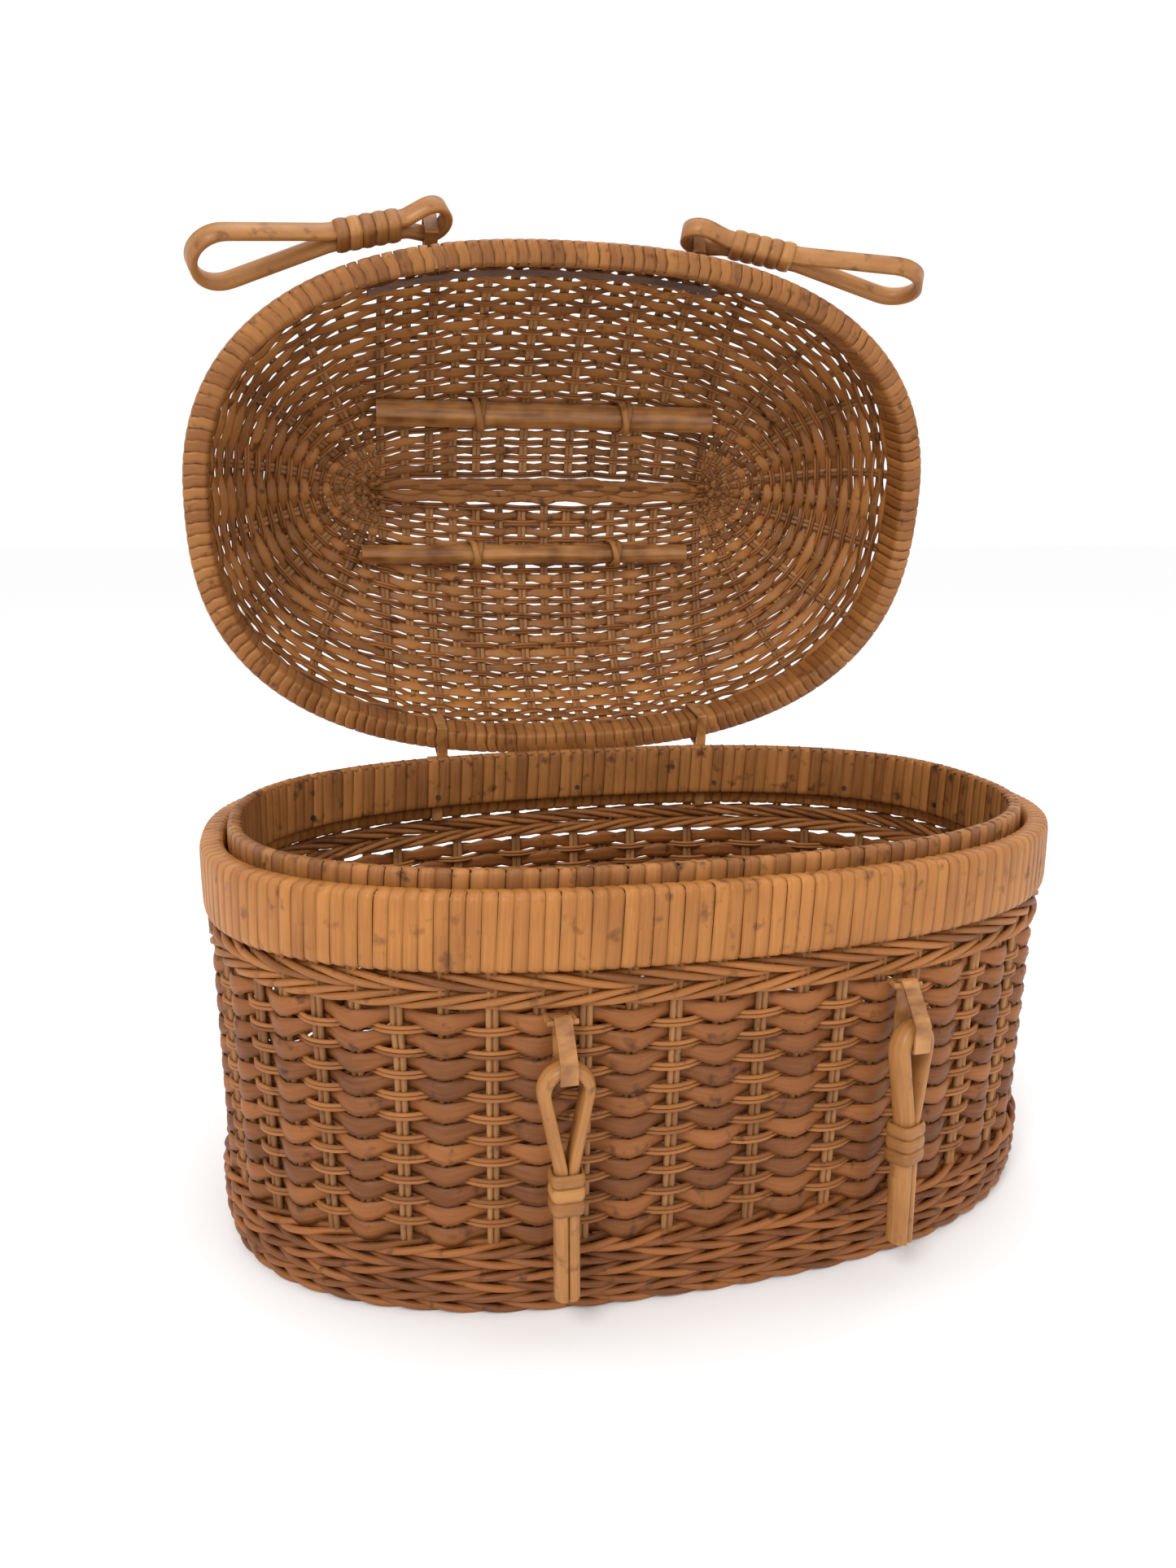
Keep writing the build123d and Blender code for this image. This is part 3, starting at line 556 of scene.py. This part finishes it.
def weave_body(settings):
    low, high = spans("body_weave")
    rows = round((high[2] - low[2]) / settings.row_pitch)
    pitch = (high[2] - low[2]) / rows
    wide, thin = Bundle(), Bundle()
    rng = random.Random(3)
    for row in range(rows):
        z = low[2] + (row + 0.5) * pitch
        ring = surface_ring(body_surface, z, body_stakes)
        profile = cane_profile(settings.wide_strip, settings.strip_thick)
        plain_row(wide, ring, 0, settings.bulge, 0, profile, rng.random(), row, 0.3, settings.sag)
        for strand in (-0.5, 0.5):
            lift = pitch / 2 + strand * settings.thin_strand * 1.9
            if z + lift < high[2] - 0.0008:
                profile = round_profile(settings.thin_strand)
                plain_row(thin, ring, 1, settings.bulge * 0.85, lift, profile, rng.random(), row + 50)
    piece = wide.build("body_wide_weavers", finish_of("wall cane"))
    finish_piece(piece, "basket", ["body_weave"])
    finish_piece(thin.build("body_thin_weavers", finish_of("thin cane")), "basket", [])


def finish_piece(piece, body, nodes):
    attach(piece, body)
    if nodes:
        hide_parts(*nodes)


def weave_wales(settings):
    rng = random.Random(5)
    low, high = spans("upper_wale")
    upper = Bundle()
    rise = (high[2] - low[2]) / 4
    radius = settings.wale_strand
    for row, way in ((0, 1), (1, -1)):
        z = low[2] + rise * (1 + 2 * row)
        ring = surface_ring(body_surface, z, body_stakes, 8)
        twisted_row(upper, ring, 4, way * 0.25, WALL / 2 - radius * 0.7, 0, rise - radius * 0.8,
                    round_profile(radius), row, rng.random)
    piece = upper.build("upper_wale_strands", finish_of("thin cane"))
    finish_piece(piece, "basket", ["upper_wale"])
    low, high = spans("foot_wale")
    foot = Bundle()
    rows = 6
    rise = (high[2] - low[2]) / rows / 2
    radius = settings.foot_strand
    for row in range(rows):
        z = low[2] + rise * (1 + 2 * row)
        tuck = (0.0018, 0.0008, 0, 0, 0, 0)[row]
        ring = surface_ring(body_surface, z, body_stakes, 8)
        ring = (ring[0] + ring[1] * (0.0008 - tuck), *ring[1:])
        way = 1 if row % 2 else -1
        twisted_row(foot, ring, 4, way / 4, WALL / 2 + 0.0009 - radius * 0.75, 0, rise - radius * 0.8,
                    round_profile(radius, 8), row + 9, rng.random)
    piece = foot.build("foot_wale_strands", finish_of("wall cane"))
    finish_piece(piece, "basket", ["foot_wale"])


def stand_stakes(settings):
    rng = random.Random(7)
    top = spans("band_wrap")[0][2] + 0.004
    stakes = Bundle()
    heights = np.linspace(0.004, top, 12)
    profile = cane_profile(0.0021, 0.0019, 6)
    stake_strips(stakes, body_surface, heights, body_stakes, profile, 0.0011, rng.random)
    piece = stakes.build("body_stake_rods", finish_of("stake cane"))
    finish_piece(piece, "basket", ["body_stakes"])


def base_surface(share):
    low, high = spans("base_panel")
    spine = BODY_PITCH * (BODY_CROSS - 1) / 2
    half = np.array([spine + (high[0] - spine - 0.001) * share, (high[1] - 0.001) * share])
    return half, (low[2] + high[2]) / 2 + 0.0004, math.pi / 2


def weave_base(settings):
    rng = random.Random(9)
    low, high = spans("base_panel")
    rows = int(high[1] / 0.0034)
    base = Bundle()
    for row in range(1, rows + 1):
        ring = surface_ring(base_surface, row / rows, body_stakes, 4)
        plain_row(base, ring, row % 2, 0.0008, 0, round_profile(0.0015, 6), rng.random(), row)
    piece = base.build("base_weavers", finish_of("wall cane"))
    finish_piece(piece, "basket", ["base_panel"])
    spokes = Bundle()
    shares = np.linspace(0.12, 0.99, 8)
    profile = cane_profile(0.0022, 0.0012, 6)
    stake_strips(spokes, base_surface, shares, body_stakes, profile, 0.0011, rng.random)
    finish_piece(spokes.build("base_spokes", finish_of("stake cane")), "basket", [])


def wind_rims(settings):
    low, high = spans("band_wrap")
    band = Bundle()
    wound_rim(band, high[:2], BAND_THICK, low[2], high[2], settings.band_strip, 0.0010, 11, uneven=0.05)
    finish_piece(band.build("band_windings", finish_of("band cane")), "basket", ["band_wrap"])
    low, high = spans("lip_wrap")
    lip = Bundle()
    wound_rim(lip, high[:2], LIP_THICK, low[2], high[2], settings.lip_strip, 0.0009, 12, uneven=0.06)
    finish_piece(lip.build("lip_windings", finish_of("lip cane")), "basket", ["lip_wrap"])
    low, high = spans("lid_rim_wrap", SHUT)
    rim = Bundle()
    middle = (low + high) / 2
    half = ((high - low) / 2)[:2]
    wound_rim(rim, half, LID_RIM_THICK, low[2], high[2], settings.band_strip * 1.05, 0.0009, 13,
              uneven=0.12, gaps=0.08)
    shift = np.array(Matrix.Translation((middle[0], middle[1], 0)))
    piece = rim.build("lid_rim_windings", finish_of("lid rim cane"), OPEN @ shift)
    finish_piece(piece, "lid", ["lid_rim_wrap"])


# ---- pieces of the lid ---------------------------------------------------------------
def lid_surface(turn):
    """Level of the dome at a turn from its foot, at the middle of the woven shell."""
    low, high = spans("lid_weave", SHUT)
    half = (high - low) / 2
    spine = settings_of().lid_spine
    rise = high[2] - low[2] - LID_SHELL
    reach = half[0] - LID_SHELL / 2 - spine
    level = np.array([spine + reach * math.cos(turn), (half[1] - LID_SHELL / 2) * math.cos(turn)])
    tilt = math.atan2(half[1] * math.sin(turn), rise * math.cos(turn) + 1e-6)
    return level, low[2] + rise * math.sin(turn), tilt


def lid_stakes(half):
    return stake_turns(half, LID_CROSS, LID_PITCH, LID_FAN)


def settings_of():
    return bpy.context.scene.basket


def crown_weavers(bundle, settings, top):
    """Straight weavers that close the dome along its spine."""
    reach = settings.lid_spine + 0.003
    x = np.arange(-reach, reach, LID_PITCH / SAMPLES)
    for row, y in enumerate((-0.0017, 0.0017)):
        wave = np.cos(math.pi * (x / LID_PITCH + row))
        z = top - 0.0030 + wave * settings.bulge * 0.6
        points = np.column_stack([x, np.full(len(x), y), z])
        side, out = framed(points, np.tile((0, 0, 1.0), (len(x), 1)), False)
        profile = cane_profile(0.0036, settings.strip_thick)
        bundle.add(sweep(points, side, out, profile), False, 0.4 + 0.2 * row)


def weave_lid(settings):
    rng = random.Random(15)
    low, high = spans("lid_weave", SHUT)
    middle = (low + high) / 2
    shift = OPEN @ np.array(Matrix.Translation((middle[0], middle[1], 0)))
    half = (high - low) / 2
    grid = np.linspace(0, math.pi / 2 - 0.004, 400)
    curve = np.stack([half[1] * np.cos(grid), (high[2] - low[2]) * np.sin(grid)], -1)
    far = np.concatenate([[0], np.cumsum(np.linalg.norm(np.diff(curve, axis=0), axis=1))])
    rows = round(far[-1] / settings.lid_pitch)
    pitch = far[-1] / rows
    wide, thin = Bundle(), Bundle()
    for row in range(rows):
        turn = float(np.interp((row + 0.5) * pitch, far, grid))
        ring = surface_ring(lid_surface, turn, lid_stakes)
        shrink = 1.0 if turn < 1.2 else 0.8
        profile = cane_profile(settings.wide_strip * 0.76 * shrink, settings.strip_thick)
        plain_row(wide, ring, 1, settings.bulge * 0.8 * shrink, 0, profile, rng.random(), row + 100,
                  0.25, -settings.sag * 0.6)
        if row == rows - 1:
            continue
        turn = float(np.interp((row + 1) * pitch, far, grid))
        ring = surface_ring(lid_surface, turn, lid_stakes)
        for strand in (-0.5, 0.5):
            lift = strand * settings.thin_strand * 1.9
            profile = round_profile(settings.thin_strand)
            plain_row(thin, ring, 0, settings.bulge * 0.7 * shrink, lift, profile, rng.random(), row + 150)
    crown_weavers(wide, settings, high[2])
    piece = wide.build("lid_wide_weavers", finish_of("lid cane"), shift)
    finish_piece(piece, "lid", ["lid_weave"])
    finish_piece(thin.build("lid_thin_weavers", finish_of("thin cane"), shift), "lid", [])
    ribs = Bundle()
    turns = np.linspace(0.0, 1.5, 22)
    stake_strips(ribs, lid_surface, turns, lid_stakes, cane_profile(0.0021, 0.0018, 6), 0.0011, rng.random)
    finish_piece(ribs.build("lid_ribs", finish_of("stake cane"), shift), "lid", ["lid_stakes"])


# ---- fasteners, ties and handles -----------------------------------------------------
def arc(centre, radius, start, stop, count):
    turn = np.linspace(start, stop, count)
    return np.stack([centre + radius * np.cos(turn), radius * np.sin(turn)], -1)


def loop_path(eye, near, end=None):
    """Middle of the cane of a loop: an eye round the origin, a neck, and a wide end or two legs."""
    neck = NECK_HALF
    swing = math.acos((eye - neck) / near[0])
    ring = arc(0, eye, swing, 2 * math.pi - swing, 28)
    if end is None:
        leg = np.linspace(near[1] - 0.0004, near[0], 16)
        upper = np.stack([leg, np.full(16, neck)], -1)
        lower = np.stack([leg[::-1], np.full(16, -neck)], -1)
        return np.concatenate([upper, ring, lower])
    radius, centre = end
    spread = math.acos((neck - radius) / (centre - near[1]))
    tip = arc(centre, radius, -spread, spread, 36)
    steps = np.linspace(near[1], near[0], 12)
    upper = np.stack([steps, np.full(12, neck)], -1)
    lower = np.stack([steps[::-1], np.full(12, -neck)], -1)
    return np.concatenate([tip, upper, ring, lower])


def even(path, step, closed):
    """The same path with points at even steps."""
    line = np.concatenate([path, path[:1]]) if closed else path
    far = np.concatenate([[0], np.cumsum(np.linalg.norm(np.diff(line, axis=0), axis=1))])
    count = int(far[-1] / step)
    at = np.linspace(0, far[-1], count, endpoint=not closed)
    return np.stack([np.interp(at, far, line[:, 0]), np.interp(at, far, line[:, 1])], -1)


def bend_loop(name, origin, along, across, path, closed):
    path = even(path, 0.0012, closed)
    if closed:
        for _ in range(3):
            path = (np.roll(path, 1, 0) + 2 * path + np.roll(path, -1, 0)) / 4
    points = origin + np.outer(path[:, 0], along) + np.outer(path[:, 1], across)
    ahead = np.gradient(path, axis=0)
    out = np.outer(ahead[:, 1], along) - np.outer(ahead[:, 0], across)
    if out[len(out) // 2] @ (points[len(out) // 2] - points.mean(0)) < 0:
        out = -out
    side, out = framed(points, out, closed)
    bundle = Bundle()
    bundle.add(sweep(points, side, out, half_round(CANE_WIDE, CANE_THICK)), closed, 0.5)
    finish_piece(bundle.build(name + "_cane", finish_of("loop cane")), name, [name])


def tie_bars(settings):
    """Two crossing strands round each bar and the foot of the handle outside it."""
    for name in ("front", "rear"):
        low, high = spans("panel_bar_" + name, SHUT)
        bar = (low + high)[1:] / 2
        bar_r = (high - low)[2] / 2
        foot = moved(np.array(joint("carry_handle_" + name + "_fold")["pos_m"])[None], SHUT)[0][1:]
        line = foot - bar
        far = np.linalg.norm(line)
        line /= far
        square = np.array([line[1], -line[0]])
        big, small = bar_r + 0.0009, HANDLE_R + 0.0009
        swing = math.acos((big - small) / far)
        round_bar = arc(0, big, swing, 2 * math.pi - swing, 30)
        ring = np.concatenate([round_bar, arc(far, small, -swing, swing, 14)])
        ring = even(ring, 0.0012, True)
        turn = np.linspace(0, 2 * math.pi, len(ring), endpoint=False)
        for side in ("left", "right"):
            tie = "handle_tie_" + name + "_" + side
            low, high = spans(tie, SHUT)
            bundle = Bundle()
            for way in (-1, 1):
                x = (low + high)[0] / 2 + way * 0.0026 * np.cos(turn + 0.9)
                flat = bar + np.outer(ring[:, 0], line) + np.outer(ring[:, 1], square)
                points = np.column_stack([x, flat])
                away = np.where(ring[:, :1] > 0, ring * [0.05, 1], ring)
                flat_out = np.outer(away[:, 0], line) + np.outer(away[:, 1], square)
                out = np.column_stack([np.zeros(len(ring)), flat_out])
                points = points + out / np.linalg.norm(out, axis=1)[:, None] * 0.00035 * (way + 1)
                sides, out = framed(points, out, True)
                profile = cane_profile(0.0034, 0.0011, 8, 0.3)
                bundle.add(sweep(points, sides, out, profile), True, 0.4 + 0.2 * way)
            piece = bundle.build(tie + "_strands", finish_of("tie cane"), OPEN)
            finish_piece(piece, "lid", [tie])


def bind_fasteners(settings):
    for kind, turns in (("hasp", 5), ("peg", 3)):
        for side in ("left", "right"):
            name = kind + "_" + side
            swing = joint(name + "_swing")
            origin = np.array(swing["pos_m"])
            normal = np.array(swing["axis"])
            node = kind + "_binding_" + side
            points = corners(node)
            along = points.mean(0) - origin
            along -= normal * (along @ normal)
            along /= np.linalg.norm(along)
            across = np.cross(normal, along)
            reach = (points - origin) @ along
            if kind == "hasp":
                end_x = HASP_LENGTH - HASP_EYE_R - HASP_END_R - CANE_THICK
                path = loop_path(HASP_EYE_R, HASP_NECK, (HASP_END_R, end_x))
                bend_loop(name, origin, along, across, path, True)
            else:
                bend_loop(name, origin, along, across, loop_path(PEG_EYE_R, PEG_NECK), False)
            bundle = Bundle()
            wound_neck(bundle, origin, along, across, normal, reach.min(), reach.max() - reach.min(), turns,
                       0.0046, 0.00445, 0.0011, len(name))
            piece = bundle.build(name + "_windings", finish_of("tie cane"))
            finish_piece(piece, name, [node])


def bind_handles(settings):
    for name in ("front", "rear"):
        node = "handle_binding_" + name
        points = corners(node)
        middle = (points.max(0) + points.min(0)) / 2
        length = points[:, 0].max() - points[:, 0].min()
        start = np.array([points[:, 0].min(), middle[1], middle[2]])
        bundle = Bundle()
        wound_neck(bundle, start, np.array([1.0, 0, 0]), np.array([0, 1.0, 0]), np.array([0, 0, 1.0]),
                   0, length, 8, 0.0033, 0.0033, 0.0011, 4, 1)
        piece = bundle.build("handle_grip_" + name, finish_of("tie cane"))
        finish_piece(piece, "carry_handle_" + name, [node])


def dress_frame(settings):
    """Gives the pieces that show as they were made their own finishes."""
    finishes = (("panel_bar", "golden bar"), ("lid_splint", "splint bamboo"), ("lip_nails", "nail iron"),
                ("hasp_left", "light cane"), ("hasp_right", "light cane"), ("peg_left", "light cane"),
                ("peg_right", "light cane"))
    for name, node in frame["nodes"].items():
        chosen = "light cane"
        for start, finish in finishes:
            if name.startswith(start):
                chosen = finish
        if node.data.materials:
            for k in range(len(node.data.materials)):
                node.material_slots[k].link = "OBJECT"
                node.material_slots[k].material = finish_of(chosen)


# ---- floor, light and camera ---------------------------------------------------------
def set_stage(settings):
    bpy.ops.mesh.primitive_plane_add(size=60)
    floor = bpy.context.object
    floor.name = "floor"
    paper = bpy.data.materials.new("pale paper")
    paper.use_nodes = True
    paper.node_tree.nodes["Principled BSDF"].inputs["Base Color"].default_value = (0.93, 0.93, 0.93, 1)
    paper.node_tree.nodes["Principled BSDF"].inputs["Roughness"].default_value = 0.9
    floor.data.materials.append(paper)
    bpy.context.scene.view_settings.view_transform = "Standard"
    world = bpy.data.worlds.new("studio")
    bpy.context.scene.world = world
    world.use_nodes = True
    world.node_tree.nodes["Background"].inputs["Color"].default_value = (1, 1, 1, 1)
    world.node_tree.nodes["Background"].inputs["Strength"].default_value = 1.05
    lamps = (("key", (-0.9, -1.3, 1.5), 0.6, 17), ("fill", (1.2, -0.9, 0.9), 1.2, 2),
             ("top", (0.1, 0.2, 1.7), 1.2, 6))
    for name, place, size, power in lamps:
        light = bpy.data.lights.new(name, "AREA")
        light.size = size
        light.energy = power
        lamp = bpy.data.objects.new(name, light)
        lamp.location = place
        aim = Vector((0, 0, 0.18)) - Vector(place)
        lamp.rotation_euler = aim.to_track_quat("-Z", "Y").to_euler()
        bpy.context.scene.collection.objects.link(lamp)
    camera = bpy.data.cameras.new("camera")
    camera.lens = 26.0
    camera.sensor_width = 36
    eye = bpy.data.objects.new("camera", camera)
    azimuth, height = math.radians(-13.685), math.radians(12.314)
    target = Vector((-0.018771, 0, 0.167315))
    level = math.cos(height)
    away = Vector((math.sin(azimuth) * level, -math.cos(azimuth) * level, math.sin(height)))
    eye.location = target + away * 0.46902
    eye.rotation_euler = (-away).to_track_quat("-Z", "Y").to_euler()
    bpy.context.scene.collection.objects.link(eye)
    bpy.context.scene.camera = eye


# ---- settings, operators and panel ---------------------------------------------------
def length(name, description, default):
    return bpy.props.FloatProperty(name=name, description=description, default=default, unit="LENGTH")


class BasketSettings(bpy.types.PropertyGroup):
    row_pitch: length("Row pitch", "Height of one wide and one thin row", 0.00806)
    wide_strip: length("Wide strip", "Width of the flat weavers", 0.0070)
    strip_thick: length("Strip thickness", "Thickness of the flat weavers", 0.0011)
    bulge: length("Bulge", "How far a weaver stands out as it passes a stake", 0.0023)
    sag: length("Sag", "How far a flat weaver sags as it passes before a stake", 0.0024)
    thin_strand: length("Thin strand", "Radius of the thin round weavers", 0.00078)
    wale_strand: length("Wale strand", "Radius of the strands of the upper wale", 0.0014)
    foot_strand: length("Foot strand", "Radius of the strands of the foot wale", 0.00135)
    band_strip: length("Band strip", "Width of the strip wound round the band", 0.0050)
    lip_strip: length("Lip strip", "Width of the strip wound round the lip", 0.0057)
    lid_pitch: length("Lid row pitch", "Height of one wide and one thin row of the lid", 0.0088)
    lid_spine: length("Lid spine", "Half length of the line that the lid's rows go round", 0.095)


class BASKET_OT_dress_frame(bpy.types.Operator):
    """Give the pieces that show as they were made their own finishes"""
    bl_idname = "basket.dress_frame"
    bl_label = "Finish the solid pieces"

    def execute(self, context):
        dress_frame(context.scene.basket)
        return {"FINISHED"}


class BASKET_OT_weave_base(bpy.types.Operator):
    """Weave the oval base and its spokes"""
    bl_idname = "basket.weave_base"
    bl_label = "Weave the base"

    def execute(self, context):
        weave_base(context.scene.basket)
        return {"FINISHED"}


class BASKET_OT_stand_stakes(bpy.types.Operator):
    """Stand the pairs of flat rods that the wall is woven on"""
    bl_idname = "basket.stand_stakes"
    bl_label = "Stand the stakes"

    def execute(self, context):
        stand_stakes(context.scene.basket)
        return {"FINISHED"}


class BASKET_OT_weave_body(bpy.types.Operator):
    """Weave the wide and the thin rows of the wall"""
    bl_idname = "basket.weave_body"
    bl_label = "Weave the wall"

    def execute(self, context):
        weave_body(context.scene.basket)
        return {"FINISHED"}


class BASKET_OT_weave_wales(bpy.types.Operator):
    """Twist the strands of the upper wale and the foot wale"""
    bl_idname = "basket.weave_wales"
    bl_label = "Twist the wales"

    def execute(self, context):
        weave_wales(context.scene.basket)
        return {"FINISHED"}


class BASKET_OT_wind_rims(bpy.types.Operator):
    """Wind strips round the band, the lip and the lid's rim"""
    bl_idname = "basket.wind_rims"
    bl_label = "Wind the rims"

    def execute(self, context):
        wind_rims(context.scene.basket)
        return {"FINISHED"}


class BASKET_OT_weave_lid(bpy.types.Operator):
    """Weave the dome and its ribs"""
    bl_idname = "basket.weave_lid"
    bl_label = "Weave the lid"

    def execute(self, context):
        weave_lid(context.scene.basket)
        return {"FINISHED"}


class BASKET_OT_bind_fasteners(bpy.types.Operator):
    """Bend the loops and pegs and bind their necks"""
    bl_idname = "basket.bind_fasteners"
    bl_label = "Bind the loops and pegs"

    def execute(self, context):
        bind_fasteners(context.scene.basket)
        return {"FINISHED"}


class BASKET_OT_tie_bars(bpy.types.Operator):
    """Tie the bars inside the lid to the handles outside"""
    bl_idname = "basket.tie_bars"
    bl_label = "Tie the bars"

    def execute(self, context):
        tie_bars(context.scene.basket)
        return {"FINISHED"}


class BASKET_OT_bind_handles(bpy.types.Operator):
    """Wind the grips of the carrying handles"""
    bl_idname = "basket.bind_handles"
    bl_label = "Bind the handles"

    def execute(self, context):
        bind_handles(context.scene.basket)
        return {"FINISHED"}


class BASKET_OT_set_stage(bpy.types.Operator):
    """Make the floor, the lights and the camera"""
    bl_idname = "basket.set_stage"
    bl_label = "Set the stage"

    def execute(self, context):
        set_stage(context.scene.basket)
        return {"FINISHED"}


STEPS = [
    BASKET_OT_dress_frame, BASKET_OT_weave_base, BASKET_OT_stand_stakes, BASKET_OT_weave_body,
    BASKET_OT_weave_wales, BASKET_OT_wind_rims, BASKET_OT_weave_lid, BASKET_OT_bind_fasteners,
    BASKET_OT_tie_bars, BASKET_OT_bind_handles, BASKET_OT_set_stage,
]


class BASKET_PT_panel(bpy.types.Panel):
    bl_label = "Woven basket"
    bl_space_type = "VIEW_3D"
    bl_region_type = "UI"
    bl_category = "Basket"

    def draw(self, context):
        for name in BasketSettings.__annotations__:
            self.layout.prop(context.scene.basket, name)
        for step in STEPS:
            self.layout.operator(step.bl_idname)


def register():
    for kind in [BasketSettings, *STEPS, BASKET_PT_panel]:
        bpy.utils.register_class(kind)
    bpy.types.Scene.basket = bpy.props.PointerProperty(type=BasketSettings)


def unregister():
    del bpy.types.Scene.basket
    for kind in reversed([BasketSettings, *STEPS, BASKET_PT_panel]):
        bpy.utils.unregister_class(kind)


def main():
    register()
    random.seed(1)
    for step in STEPS:
        getattr(bpy.ops.basket, step.bl_idname.split(".")[1])()


if __name__ == "__main__":
    main()
